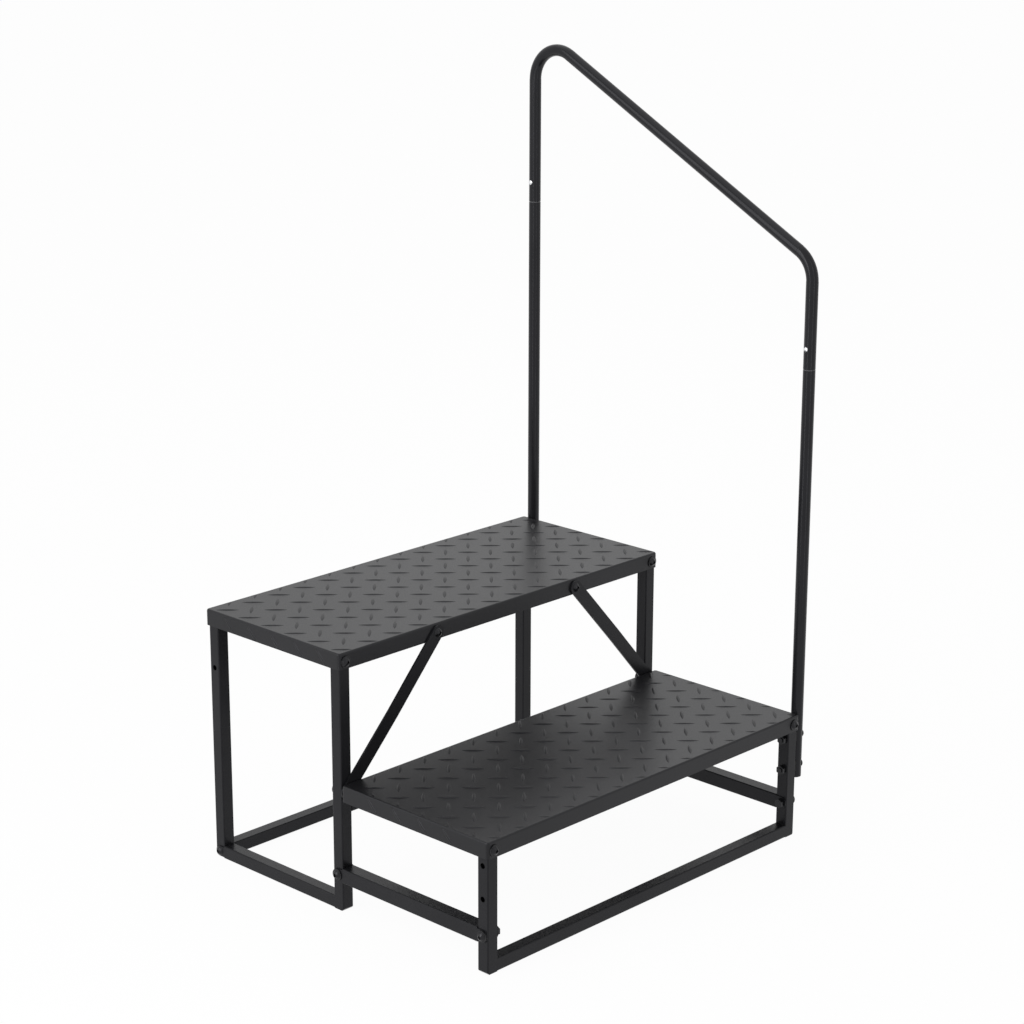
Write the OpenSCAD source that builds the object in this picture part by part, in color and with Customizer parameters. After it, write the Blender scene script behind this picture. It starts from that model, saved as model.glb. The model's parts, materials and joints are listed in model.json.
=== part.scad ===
// Two-step caravan entry step: two folded checker-plate treads on a bolted square-tube
// frame, two flat braces and a round handrail with a bent top, on the right-hand side.
// The origin is the middle of the front floor bar's underside. +X is right, +Y is back.

/* [Treads] */
// Width of both treads, side to side
tread_w = 690; // [640:5:760]
// Depth of both treads, front to back
tread_d = 296; // [270:2:330]
// Height of the upper walking surface
upper_h = 400; // [370:5:440]
// Height of the lower walking surface
lower_h = 200; // [195:1:220]
// Height of the folded skirt round each tread
skirt_h = 25; // [23:1:28]
// Sheet thickness of the treads
sheet_t = 2; // [1.5:0.25:2.5]
// Inner plan radius of the treads' corners
corner_in = 3; // [2:0.25:3]
// Inner radius of the fold between plate and skirt
fold_in = 1; // [0.5:0.25:1]
// Free space between a skirt and the legs inside it
fit_gap = 0.5; // [0.3:0.1:1]
// Free space between the plate and the legs' tops, which clears the fold
top_gap = 0.3; // [0.3:0.1:0.6]

/* [Checker plate] */
// Distance between neighbouring raised bars
bar_pitch = 36; // [34:1:44]
// Length of one raised bar
bar_len = 34; // [28:1:36]
// Width of one raised bar at its middle
bar_w = 5; // [4:0.5:8]
// Height of the raised bars at their middle
bar_h = 1; // [0.8:0.1:1.6]
// Height of the raised bars at their tips
bar_tip_h = 0.3; // [0.2:0.1:0.6]
// Shift of the upper tread's pattern to the right
upper_shift_x = 30; // [0:1:50]
// Shift of the upper tread's pattern to the back
upper_shift_y = 17.5; // [0:0.5:50]
// Shift of the lower tread's pattern to the right
lower_shift_x = 38; // [0:1:50]
// Shift of the lower tread's pattern to the back
lower_shift_y = 7; // [0:0.5:50]
// Plain length at both ends of the short skirts, where a handrail post may stand
skirt_plain = 36; // [30:1:60]

/* [Frame tubes] */
// Outside size of the square legs and floor bars
tube = 20; // [19:0.5:22]
// Wall of the square tubes
wall = 1.5; // [1.2:0.1:2]
// Outside corner radius of the square tubes
tube_r = 2; // [2:0.25:3]
// Chamfer across the outer bottom corners of the frames
foot_chamfer = 3; // [1:0.5:4]

/* [Lower side bars] */
// Height of the lower side bars' underside above the ground
rail_z = 45; // [40:1:52]
// Height of the lower side bars
rail_h = 23; // [21:1:26]

/* [Cross bar] */
// Depth of the cross bar's top below the lower walking surface
cross_drop = 28; // [27:1:36]
// Thread diameter of the short screws that hold the cross bar
screw_d = 5; // [4:0.5:6]
// Length of these screws below their heads
screw_len = 6; // [5:0.5:9]

/* [Braces] */
// Width of the flat braces
brace_w = 22; // [20:1:24]
// Thickness of the flat braces
brace_t = 3; // [2.5:0.5:4]
// Distance of each brace's top bolt from the middle
brace_x = 150; // [120:5:180]
// Length over which each brace is set forward, above its lower end
brace_set = 100; // [30:5:140]

/* [Bolts] */
// Thread diameter of the bolts
bolt_d = 8; // [6:1:8]
// Diameter of the drilled bolt holes
hole_d = 8.5; // [8.5:0.25:9]
// Diameter of the domed bolt heads
head_d = 14; // [13:0.5:15]
// Height of the domed bolt heads
head_h = 4.4; // [3.6:0.2:5]
// Size across the flats of the socket in the bolt heads
socket_d = 5; // [4:0.5:6]
// Diameter of the plain washers
washer_d = 18; // [17:0.5:19]
// Thickness of the plain washers
washer_t = 1.5; // [1:0.1:1.8]
// Size across the flats of the nuts
nut_w = 13; // [12:0.5:13.5]
// Height of the nuts
nut_h = 6.5; // [5:0.5:7]
// Height of the tread bolts below the walking surface
bolt_drop = 14; // [13:0.5:15]

/* [Handrail] */
// Outside diameter of the handrail tube
post_d = 19; // [18:0.5:22]
// Wall of the handrail tube
post_wall = 1.5; // [1.2:0.1:2]
// Centre-line radius of the two bends
bend_r = 50; // [45:1:60]
// Rise from the lower walking surface to where the sloping rail meets the front post's line
rail_front_rise = 708; // [680:2:750]
// Rise from the upper walking surface to where the sloping rail meets the rear post's line
rail_rear_rise = 813; // [780:2:860]
// Straight length of the bent top below its front bend, down to the joint
front_straight = 132; // [90:2:180]
// Straight length of the bent top below its rear bend, down to the joint
rear_straight = 196; // [120:2:260]
// Depth of the upper handrail hole in a front leg below the lower walking surface
front_hole_drop = 38; // [36:1:44]
// Distance between the two handrail holes in a front leg
rail_hole_pitch = 50; // [46:1:52]
// Depth of the handrail hole in a rear leg below the upper walking surface
rear_hole_drop = 92; // [84:1:100]
// Length of the front post below its lower bolt
front_tail = 19; // [17:1:24]
// Length of the rear post below its bolt
rear_tail = 24; // [18:1:30]
// Length of the reduced top of each lower post inside the bent tube
plug_len = 60; // [50:1:80]
// Height of the locking buttons above the joints
button_up = 31; // [24:1:36]
// Diameter of the locking buttons
button_d = 7; // [6:0.5:8]
// How far the locking buttons stand out of the tube
button_out = 2.5; // [1:0.25:3]
// How much the tube's diameter draws in at the bends
bend_draw = 0.3; // [0.2:0.05:0.4]
// Free space between sliding handrail pieces
slide_gap = 0.2; // [0.1:0.05:0.3]
// Height of the saddles between the posts and the legs
saddle_h = 16; // [14:1:18]
// Width of the saddles between the posts and the legs
saddle_w = 14; // [12:1:16]
// How far the end plugs reach into the posts
end_plug_in = 10; // [8:0.5:11]
// Height of the end plugs' domes below the posts
end_dome_h = 2.5; // [2:0.5:4]

/* [Hidden] */

// Smoothness of the round parts
round_fn = 48;
// Overshoot of a cut past the face that it goes through
over = 1;

// Outer radii of the treads' corners and folds
corner_r = corner_in + sheet_t;
fold_r = fold_in + sheet_t;

// Places of the frames and treads
leg_in = sheet_t + fit_gap;
half_w = tread_w / 2;
frame_x = half_w - leg_in;
leg_x = frame_x - tube / 2;
tab_t = wall;
tab_h = tube - 2 * tube_r;
rear_leg_x = leg_x - tab_t;
lower_y = -tube / 2 - leg_in;
mid_y = lower_y + tread_d + brace_t;
mid_leg_y = mid_y + tube / 2;
upper_y = mid_y - leg_in;
rear_leg_y = upper_y + tread_d - leg_in - tube / 2;
upper_leg_h = upper_h - sheet_t - top_gap;
lower_leg_h = lower_h - sheet_t - top_gap;
upper_bolt_z = upper_h - bolt_drop;
lower_bolt_z = lower_h - bolt_drop;

// Steps of the checker pattern along the treads, and the plain margin beside the skirts' bars
bar_step = bar_pitch / sqrt(2);
bar_margin = sheet_t / 2;

// Places of the lower side bars and of the cross bar
rail_w = tube + 2 * tab_t;
rail_tab_h = rail_h - 2 * tube_r;
rail_bolt_z = rail_z + rail_h / 2;
cross_z = lower_h - cross_drop - tube / 2;

// Places of the handrail
post_x = half_w + fit_gap + post_d / 2;
rail_front_z = lower_h + rail_front_rise;
rail_rear_z = upper_h + rail_rear_rise;
rail_slope = atan((rail_rear_z - rail_front_z) / rear_leg_y);
front_turn = 90 - rail_slope;
rear_turn = 90 + rail_slope;
front_tangent = bend_r * tan(front_turn / 2);
rear_tangent = bend_r * tan(rear_turn / 2);
slope_len = rear_leg_y / cos(rail_slope) - front_tangent - rear_tangent;
seam_front_z = rail_front_z - front_tangent - front_straight;
seam_rear_z = rail_rear_z - rear_tangent - rear_straight;
front_hole_z = lower_h - front_hole_drop;
front_bolt_zs = [front_hole_z - rail_hole_pitch, front_hole_z];
rear_hole_z = upper_h - rear_hole_drop;
post_front_z = front_hole_z - rail_hole_pitch - front_tail;
post_rear_z = rear_hole_z - rear_tail;
post_bore = post_d - 2 * post_wall;
plug_d = post_bore - 2 * slide_gap;
button_hole_d = button_d + 2 * slide_gap;

// Lap of the straight runs over the ends of the bends
bend_lap = 0.5;

// Places of the braces
brace_drop = upper_bolt_z - lower_bolt_z;
brace_run = leg_x - brace_x;
brace_len = norm([brace_drop, brace_run]);
brace_tilt = atan(brace_drop / brace_run);
brace_set_from = (bolt_drop + brace_w / 2 * cos(brace_tilt)) / sin(brace_tilt) + brace_t;

// Lengths of bolt between the bearing faces of head and nut
tread_grip = leg_in + tube;
rear_grip = tube + brace_t + sheet_t;
brace_grip = brace_t + sheet_t;
rail_grip = rail_w;
foot_grip = tab_t + wall;
handrail_grip = post_x + post_d / 2 - (rear_leg_x - tube / 2);

// Colours
black = [0.12, 0.12, 0.13];
steel = [0.62, 0.63, 0.65];

// Shared shapes

// Radius of a dome or bow from its width and its height
function bow_radius(w, h) = (w * w / 4 + h * h) / (2 * h);

// Rectangle with round corners, centred on the origin
module round_rect(a, b, r) {
    square([a - 2 * r, b], center = true);
    square([a, b - 2 * r], center = true);
    for (sx = [-1, 1], sy = [-1, 1])
        translate([sx * (a / 2 - r), sy * (b / 2 - r)]) circle(r, $fn = round_fn);
}

// Section of a rectangular tube with round edges
module tube_section(a, b) {
    difference() {
        round_rect(a, b, tube_r);
        round_rect(a - 2 * wall, b - 2 * wall, tube_r / 2);
    }
}

// Solid square bar along +Z with the tubes' round edges
module bar_z(len) {
    linear_extrude(len) round_rect(tube, tube, tube_r);
}

// Space inside a square tube along +Z
module bore_z(len) {
    linear_extrude(len) round_rect(tube - 2 * wall, tube - 2 * wall, tube_r / 2);
}

// Turns what is drawn along +Z to lie along +X
module along_x() {
    rotate([0, 90, 0]) children();
}

// Turns what is drawn along +Z to lie along +Y
module along_y() {
    rotate([-90, 0, 0]) children();
}

// Turns what is drawn along +Z to lie along -Y
module against_y() {
    rotate([90, 0, 0]) children();
}

// Round cut along X, centred on the origin
module hole_x(len, d = hole_d) {
    along_x() cylinder(d = d, h = len, center = true, $fn = round_fn);
}

// Round cut along Y, centred on the origin
module hole_y(len, d = hole_d) {
    along_y() cylinder(d = d, h = len, center = true, $fn = round_fn);
}

// Flat tab in the YZ plane, from y = 0 along +Y, with a round end past its reach
module round_tab(reach, h, t) {
    translate([-t / 2, 0, -h / 2]) cube([t, reach, h]);
    translate([0, reach, 0]) hole_x(t, h);
}

// Treads

// Section of the folded edge, from the plate at left to the skirt's lower lip at right
module edge_section() {
    translate([-corner_r, -sheet_t]) square([corner_r - fold_r, sheet_t]);
    translate([-sheet_t, -skirt_h]) square([sheet_t, skirt_h - fold_r]);
    translate([-fold_r, -fold_r]) intersection() {
        difference() {
            circle(fold_r, $fn = round_fn);
            circle(fold_in, $fn = round_fn);
        }
        square(fold_r);
    }
}

// One quarter-round corner of the folded edge
module edge_corner(sx, sy) {
    turn = sx > 0 ? (sy > 0 ? 0 : -90) : (sy > 0 ? 90 : 180);
    translate([sx * (half_w - corner_r), sy * (tread_d / 2 - corner_r), 0])
        rotate([0, 0, turn])
            rotate_extrude(angle = 90, $fn = round_fn)
                translate([corner_r, 0]) edge_section();
}

// Straight folded edge along X, at the side sy
module edge_along_x(sy) {
    translate([0, sy * tread_d / 2, 0]) rotate([90, 0, sy * 90])
        linear_extrude(tread_w - 2 * corner_r, center = true) edge_section();
}

// Straight folded edge along Y, at the side sx
module edge_along_y(sx) {
    translate([sx * half_w, 0, 0]) rotate([90, 0, sx > 0 ? 0 : 180])
        linear_extrude(tread_d - 2 * corner_r, center = true) edge_section();
}

// Lens-shaped bar along X on the plane z = 0, higher at its middle than at its tips
module raised_bar() {
    lens_r = bow_radius(bar_len, bar_w / 2);
    crown_r = bow_radius(bar_len, bar_h - bar_tip_h);
    intersection() {
        bar_side(lens_r - bar_w / 2, lens_r);
        bar_side(bar_w / 2 - lens_r, lens_r);
        translate([0, 0, bar_h - crown_r]) hole_y(2 * bar_w, 2 * crown_r);
    }
}

// Round blank that gives a raised bar one of its two bowed sides
module bar_side(y, r) {
    translate([0, y, -sheet_t / 2]) cylinder(r = r, h = bar_h + sheet_t, $fn = 4 * round_fn);
}

// Chequered field of raised bars, alternately at 45 degrees to the left and to the right
module bar_field(shift) {
    reach_x = half_w - fold_r + bar_len / 4;
    reach_y = tread_d / 2 - fold_r + bar_len / 4;
    nx = ceil((reach_x + shift.x) / bar_step);
    ny = ceil((reach_y + shift.y) / bar_step);
    for (i = [-nx:nx], j = [-ny:ny]) {
        x = i * bar_step + shift.x;
        y = j * bar_step + shift.y;
        if ((i + j) % 2 == 0 && abs(x) < reach_x && abs(y) < reach_y)
            translate([x, y, 0]) rotate([0, 0, i % 2 == 0 ? -45 : 45]) raised_bar();
    }
}

// Row of slanted bars on the short skirt at side sx, where the pattern runs over the fold
module skirt_bars(sx, shift) {
    reach = tread_d / 2 - skirt_plain;
    n = ceil(tread_d / 2 / bar_step);
    mid_z = -(fold_r + skirt_h) / 2;
    flat_h = skirt_h - fold_r - 2 * bar_margin;
    intersection() {
        for (j = [-n:n]) {
            y = shift.y + (2 * j - 1) * bar_step;
            if (abs(y) < reach)
                translate([sx * half_w, y, mid_z]) rotate([0, sx * 90, 0]) rotate([0, 0, 45])
                    raised_bar();
        }
        translate([sx * half_w, 0, mid_z]) cube([4 * sheet_t, tread_d, flat_h], center = true);
    }
}

// One tread: folded tray, raised bars and bolt holes; z = 0 is the walking surface
module tread(shift) {
    difference() {
        union() {
            translate([0, 0, -sheet_t / 2])
                cube([tread_w - 2 * corner_r, tread_d - 2 * corner_r, sheet_t], center = true);
            for (s = [-1, 1]) {
                edge_along_x(s);
                edge_along_y(s);
                skirt_bars(s, shift);
            }
            for (sx = [-1, 1], sy = [-1, 1]) edge_corner(sx, sy);
            intersection() {
                bar_field(shift);
                cube([tread_w - 2 * fold_r, tread_d - 2 * fold_r, 4 * sheet_t], center = true);
            }
        }
        children();
    }
}

// The upper tread is drilled for the four legs and for the tops of both braces
module upper_tread() {
    color(black) translate([0, upper_y + tread_d / 2, upper_h])
        tread([upper_shift_x, upper_shift_y])
            for (s = [-1, 1]) {
                translate([s * leg_x, -tread_d / 2, -bolt_drop]) hole_y(4 * sheet_t);
                translate([s * rear_leg_x, tread_d / 2, -bolt_drop]) hole_y(4 * sheet_t);
                translate([s * brace_x, -tread_d / 2, -bolt_drop]) hole_y(4 * sheet_t);
            }
}

// The lower tread is drilled for the front legs and the upper front legs
module lower_tread() {
    color(black) translate([0, lower_y + tread_d / 2, lower_h])
        tread([lower_shift_x, lower_shift_y])
            for (s = [-1, 1], sy = [-1, 1])
                translate([s * leg_x, sy * tread_d / 2, -bolt_drop]) hole_y(4 * sheet_t);
}

// Frames

// Cut across the outer bottom corner of a frame, along Y through the origin
module corner_cut() {
    rotate([0, 45, 0])
        cube([sqrt(2) * foot_chamfer, 2 * tube, sqrt(2) * foot_chamfer], center = true);
}

// U frame in the XZ plane: two legs at +-x and a floor bar between them, welded as one
module u_frame(x, h) {
    difference() {
        union() {
            for (s = [-1, 1]) translate([s * x, 0, 0]) bar_z(h);
            translate([-x, 0, tube / 2]) along_x() bar_z(2 * x);
        }
        for (s = [-1, 1]) {
            translate([s * x, 0, wall]) bore_z(h);
            translate([s * (x + tube / 2), 0, 0]) corner_cut();
        }
        translate([-x, 0, tube / 2]) along_x() bore_z(2 * x);
    }
}

// L frame in the YZ plane: front leg, floor bar to the rear leg, and the tab over the rear leg
module l_frame(side) {
    bar_len_y = rear_leg_y - tube / 2 - mid_leg_y;
    translate([side * leg_x, mid_leg_y, 0])
        difference() {
            union() {
                bar_z(upper_leg_h);
                translate([0, 0, tube / 2]) along_y() bar_z(bar_len_y);
                translate([side * (tube - tab_t) / 2, bar_len_y, tube / 2])
                    round_tab(tube / 2, tab_h, tab_t);
            }
            translate([0, 0, wall]) bore_z(upper_leg_h);
            translate([0, 0, tube / 2]) along_y() bore_z(bar_len_y + over);
            translate([0, -tube / 2, 0]) rotate([0, 0, 90]) corner_cut();
            translate([side * tube / 2, rear_leg_y - mid_leg_y, tube / 2]) hole_x(tube);
            translate([0, 0, upper_bolt_z]) hole_y(2 * tube);
            translate([0, 0, lower_bolt_z]) hole_y(2 * tube);
            translate([0, 0, rail_bolt_z]) hole_x(2 * tube);
            translate([0, tube / 2, cross_z]) hole_y(2 * wall + over, screw_d);
        }
}

module left_side_frame() {
    color(black) l_frame(-1);
}

module right_side_frame() {
    color(black) l_frame(1);
}

// The rear legs carry one handrail hole each, so the rail fits either side
module rear_frame() {
    color(black) translate([0, rear_leg_y, 0]) difference() {
        u_frame(rear_leg_x, upper_leg_h);
        for (s = [-1, 1]) {
            translate([s * rear_leg_x, 0, upper_bolt_z]) hole_y(2 * tube);
            translate([s * rear_leg_x, 0, rear_hole_z]) hole_x(2 * tube);
            translate([s * (rear_leg_x + tube / 2), 0, tube / 2]) hole_x(2 * wall + over);
        }
    }
}

// The front legs carry two handrail holes each, so the rail fits either side
module front_frame() {
    color(black) difference() {
        u_frame(leg_x, lower_leg_h);
        for (s = [-1, 1]) {
            translate([s * leg_x, 0, lower_bolt_z]) hole_y(2 * tube);
            translate([s * leg_x, 0, rail_bolt_z]) hole_x(2 * tube);
            for (z = front_bolt_zs) translate([s * leg_x, 0, z]) hole_x(2 * tube);
        }
    }
}

// Lower side bar between the front leg and the upper front leg, its side walls run on as tabs
module step_rail(side) {
    y0 = tube / 2;
    y1 = mid_y;
    translate([side * leg_x, 0, rail_bolt_z])
        difference() {
            union() {
                translate([0, y0, 0]) along_y() linear_extrude(y1 - y0) tube_section(rail_w, rail_h);
                for (s = [-1, 1]) translate([s * (rail_w - tab_t) / 2, 0, 0]) {
                    translate([0, y1, 0]) round_tab(tube / 2, rail_tab_h, tab_t);
                    translate([0, y0, 0]) mirror([0, 1, 0]) round_tab(tube / 2, rail_tab_h, tab_t);
                }
            }
            for (y = [0, mid_leg_y]) translate([0, y, 0]) hole_x(2 * tube);
        }
}

module left_step_rail() {
    color(black) step_rail(-1);
}

module right_step_rail() {
    color(black) step_rail(1);
}

// Cross bar between the upper front legs, its rear wall run on as tabs behind them
module cross_bar() {
    half = leg_x - tube / 2;
    color(black) translate([0, mid_leg_y, cross_z])
        difference() {
            union() {
                translate([-half, 0, 0]) along_x() linear_extrude(2 * half) tube_section(tube, tube);
                for (s = [-1, 1]) translate([s * (half - over), tube / 2 + tab_t / 2, 0])
                    rotate([0, 0, -s * 90]) round_tab(tube / 2 + over, tab_h, tab_t);
            }
            for (s = [-1, 1]) translate([s * leg_x, tube / 2, 0]) hole_y(4 * tab_t, screw_d);
        }
}

// Braces

// Flat brace from the upper skirt down to the leg behind the lower tread. It is drawn along
// +X from its lower bolt and then tilted up; its face and its side profile intersect.
module brace(side) {
    translate([side * leg_x, mid_y, lower_bolt_z])
        mirror([side > 0 ? 1 : 0, 0, 0])
            rotate([0, -brace_tilt, 0])
                difference() {
                    intersection() {
                        brace_profile();
                        brace_face();
                    }
                    for (s = [0, brace_len]) translate([s, 0, 0]) hole_y(6 * brace_t);
                }
}

// The brace's side profile, set forward above the tread, drawn wider than the brace
module brace_profile() {
    set_end = brace_set_from + brace_set;
    past = brace_len + brace_w;
    translate([0, 0, -brace_w]) linear_extrude(2 * brace_w)
        polygon([[-brace_w, 0], [brace_set_from, 0], [set_end, -leg_in], [past, -leg_in],
            [past, -leg_in - brace_t], [set_end, -leg_in - brace_t],
            [brace_set_from, -brace_t], [-brace_w, -brace_t]]);
}

// The brace's face with its round ends, drawn deeper than the brace
module brace_face() {
    translate([0, over, 0]) against_y() linear_extrude(brace_t + leg_in + 2 * over) {
        translate([0, -brace_w / 2]) square([brace_len, brace_w]);
        for (s = [0, brace_len]) translate([s, 0]) circle(d = brace_w, $fn = round_fn);
    }
}

module left_brace() {
    color(black) brace(-1);
}

module right_brace() {
    color(black) brace(1);
}

// Handrail

// Bend in the YZ plane round the point y, z, from one angle on through turn, of diameter d
module bend(y, z, from, turn, d) {
    translate([0, y, z]) rotate([90, 0, 90]) rotate([0, 0, from])
        rotate_extrude(angle = turn, $fn = 2 * round_fn)
            translate([bend_r, 0]) circle(d = d, $fn = round_fn);
}

// Path of the bent top with the round section d, run past both joints by past. The tube
// draws in slightly at its bends, so each straight run laps over the ends of the bends.
module top_path(d, past) {
    front_end = seam_front_z + front_straight;
    rear_end = seam_rear_z + rear_straight;
    translate([0, 0, seam_front_z - past])
        cylinder(d = d, h = front_straight + past + bend_lap, $fn = round_fn);
    bend(bend_r, front_end, 90 + rail_slope, front_turn, d - bend_draw);
    translate([0, 0, rail_front_z]) rotate([rail_slope - 90, 0, 0])
        translate([0, 0, front_tangent - bend_lap])
            cylinder(d = d, h = slope_len + 2 * bend_lap, $fn = round_fn);
    bend(rear_leg_y - bend_r, rear_end, 0, rear_turn, d - bend_draw);
    translate([0, rear_leg_y, seam_rear_z - past])
        cylinder(d = d, h = rear_straight + past + bend_lap, $fn = round_fn);
}

// Bent top of the handrail, in one piece down to the joints in both posts
module handrail_top() {
    color(black) translate([post_x, 0, 0]) difference() {
        top_path(post_d, 0);
        top_path(post_bore, over);
        translate([-post_d / 2, 0, seam_front_z + button_up]) hole_x(post_d / 2, button_hole_d);
        translate([-post_d / 2, rear_leg_y, seam_rear_z + button_up])
            hole_x(post_d / 2, button_hole_d);
    }
}

// Lower post with a reduced top that plugs into the bent tube; z = 0 is its lower end
module lower_post(len, hole_zs) {
    difference() {
        union() {
            cylinder(d = post_d, h = len - post_wall, $fn = round_fn);
            translate([0, 0, len - post_wall])
                cylinder(d1 = post_d, d2 = post_bore, h = post_wall, $fn = round_fn);
            cylinder(d = plug_d, h = len + plug_len, $fn = round_fn);
        }
        translate([0, 0, -over])
            cylinder(d = post_bore, h = len - 2 * post_wall + over, $fn = round_fn);
        translate([0, 0, -over])
            cylinder(d = plug_d - 2 * post_wall, h = len + plug_len + 2 * over, $fn = round_fn);
        for (z = hole_zs) translate([0, 0, z]) hole_x(2 * post_d);
        translate([-plug_d / 2, 0, len + button_up]) hole_x(post_d / 2, button_hole_d);
    }
}

module handrail_front_post() {
    color(black) translate([post_x, 0, post_front_z])
        lower_post(seam_front_z - post_front_z, [for (z = front_bolt_zs) z - post_front_z]);
}

module handrail_rear_post() {
    color(black) translate([post_x, rear_leg_y, post_rear_z])
        lower_post(seam_rear_z - post_rear_z, [rear_hole_z - post_rear_z]);
}

// Domed plug that closes the lower end of a post
module end_plug() {
    dome_r = bow_radius(post_d, end_dome_h);
    cylinder(d = plug_d, h = end_plug_in, $fn = round_fn);
    intersection() {
        translate([0, 0, -end_dome_h]) cylinder(d = post_d, h = end_dome_h, $fn = round_fn);
        translate([0, 0, dome_r - end_dome_h]) sphere(r = dome_r, $fn = round_fn);
    }
}

module post_end_plugs() {
    color(black) {
        translate([post_x, 0, post_front_z]) end_plug();
        translate([post_x, rear_leg_y, post_rear_z]) end_plug();
    }
}

// Saddle from a leg's outer face to the round post, hollowed to the post's curve
module saddle(leg_face) {
    reach = post_x - leg_face;
    difference() {
        translate([leg_face, -saddle_w / 2, -saddle_h / 2]) cube([reach, saddle_w, saddle_h]);
        translate([post_x, 0, 0])
            cylinder(d = post_d + slide_gap, h = 2 * saddle_h, center = true, $fn = round_fn);
        translate([leg_face, 0, 0]) hole_x(2 * reach);
    }
}

module handrail_saddles() {
    color(black) {
        for (z = front_bolt_zs) translate([0, 0, z]) saddle(frame_x);
        translate([0, rear_leg_y, rear_hole_z]) saddle(rear_leg_x + tube / 2);
    }
}

// Locking button inside the joint, its dome stands out of the bent tube's inner side
module locking_button(y, z) {
    seat = 2 * post_wall + slide_gap;
    translate([post_x - post_d / 2 + seat, y, z + button_up]) rotate([0, -90, 0]) {
        cylinder(d = button_d, h = seat, $fn = round_fn);
        intersection() {
            cylinder(d = button_d, h = seat + button_out, $fn = round_fn);
            translate([0, 0, seat + button_out - button_d]) sphere(r = button_d, $fn = round_fn);
        }
    }
}

module locking_buttons() {
    color(steel) {
        locking_button(0, seam_front_z);
        locking_button(rear_leg_y, seam_rear_z);
    }
}

// Fasteners

// Domed bolt along +Z: the head is below z = 0 and the shank ends at len
module dome_bolt(len, d = bolt_d, w = head_d, h = head_h, socket = socket_d) {
    dome_r = bow_radius(w, h);
    difference() {
        union() {
            cylinder(d = d, h = len, $fn = round_fn);
            intersection() {
                translate([0, 0, -h]) cylinder(d = w, h = h, $fn = round_fn);
                translate([0, 0, dome_r - h]) sphere(r = dome_r, $fn = round_fn);
            }
        }
        translate([0, 0, -h - over]) cylinder(d = socket * 2 / sqrt(3), h = h / 2 + over, $fn = 6);
    }
}

// Plain washer from z = 0 down to its thickness
module washer() {
    translate([0, 0, -washer_t]) difference() {
        cylinder(d = washer_d, h = washer_t, $fn = round_fn);
        translate([0, 0, -over]) cylinder(d = hole_d, h = washer_t + 2 * over, $fn = round_fn);
    }
}

// Hexagon nut upwards from z = 0
module hex_nut() {
    difference() {
        cylinder(d = nut_w * 2 / sqrt(3), h = nut_h, $fn = 6);
        translate([0, 0, -over])
            cylinder(d = bolt_d + slide_gap, h = nut_h + 2 * over, $fn = round_fn);
    }
}

// Puts its children at each tread bolt, +Z inwards from the outer face that the head bears on
module at_tread_bolts() {
    for (s = [-1, 1]) {
        translate([s * leg_x, upper_y, upper_bolt_z]) along_y() children();
        translate([s * rear_leg_x, upper_y + tread_d, upper_bolt_z]) against_y() children();
        translate([s * leg_x, lower_y, lower_bolt_z]) along_y() children();
        translate([s * leg_x, mid_y + tube, lower_bolt_z]) against_y() children();
    }
}

module tread_bolts() {
    color(black) at_tread_bolts()
        translate([0, 0, -washer_t]) dome_bolt(washer_t + rear_grip + nut_h);
}

module tread_washers() {
    color(black) at_tread_bolts() washer();
}

module tread_nuts() {
    color(black) for (s = [-1, 1]) {
        translate([s * leg_x, upper_y + tread_grip, upper_bolt_z]) along_y() hex_nut();
        translate([s * rear_leg_x, upper_y + tread_d - tread_grip, upper_bolt_z])
            against_y() hex_nut();
        translate([s * leg_x, lower_y + tread_grip, lower_bolt_z]) along_y() hex_nut();
        translate([s * leg_x, mid_y + tube - rear_grip, lower_bolt_z]) against_y() hex_nut();
    }
}

// Puts its children at each brace's top bolt, +Z inwards from the brace's front face
module at_brace_bolts() {
    for (s = [-1, 1])
        translate([s * brace_x, upper_y - brace_t, upper_bolt_z]) along_y() children();
}

module brace_bolts() {
    color(black) at_brace_bolts() dome_bolt(brace_grip + nut_h);
}

module brace_nuts() {
    color(black) at_brace_bolts() translate([0, 0, brace_grip]) hex_nut();
}

// Puts its children at each side bar bolt, +Z inwards from the outer tab's face
module at_step_rail_bolts() {
    for (s = [-1, 1], y = [0, mid_leg_y])
        translate([s * (leg_x + rail_w / 2), y, rail_bolt_z]) rotate([0, -s * 90, 0]) children();
}

module step_rail_bolts() {
    color(black) at_step_rail_bolts()
        translate([0, 0, -washer_t]) dome_bolt(washer_t + rail_grip + nut_h);
}

module step_rail_washers() {
    color(black) at_step_rail_bolts() washer();
}

module step_rail_nuts() {
    color(black) at_step_rail_bolts() translate([0, 0, rail_grip]) hex_nut();
}

// Puts its children at each foot bolt, +Z inwards from the tab's outer face
module at_foot_bolts() {
    for (s = [-1, 1])
        translate([s * frame_x, rear_leg_y, tube / 2]) rotate([0, -s * 90, 0]) children();
}

module foot_bolts() {
    color(black) at_foot_bolts() dome_bolt(foot_grip + nut_h);
}

// The foot nuts are welded inside the rear legs
module foot_nuts() {
    color(steel) at_foot_bolts() translate([0, 0, foot_grip]) hex_nut();
}

module cross_bar_screws() {
    color(black) for (s = [-1, 1])
        translate([s * leg_x, mid_y + tube + tab_t, cross_z]) against_y()
            dome_bolt(screw_len, screw_d - slide_gap, 2 * screw_d, screw_d / 2, screw_d / 2);
}

// Puts its children at each handrail bolt, +Z inwards from the post's outer side
module at_handrail_bolts() {
    for (z = front_bolt_zs) translate([post_x + post_d / 2, 0, z]) rotate([0, -90, 0]) children();
    translate([post_x + post_d / 2, rear_leg_y, rear_hole_z]) rotate([0, -90, 0]) children();
}

module handrail_bolts() {
    color(black) at_handrail_bolts() dome_bolt(handrail_grip + nut_h);
}

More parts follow.
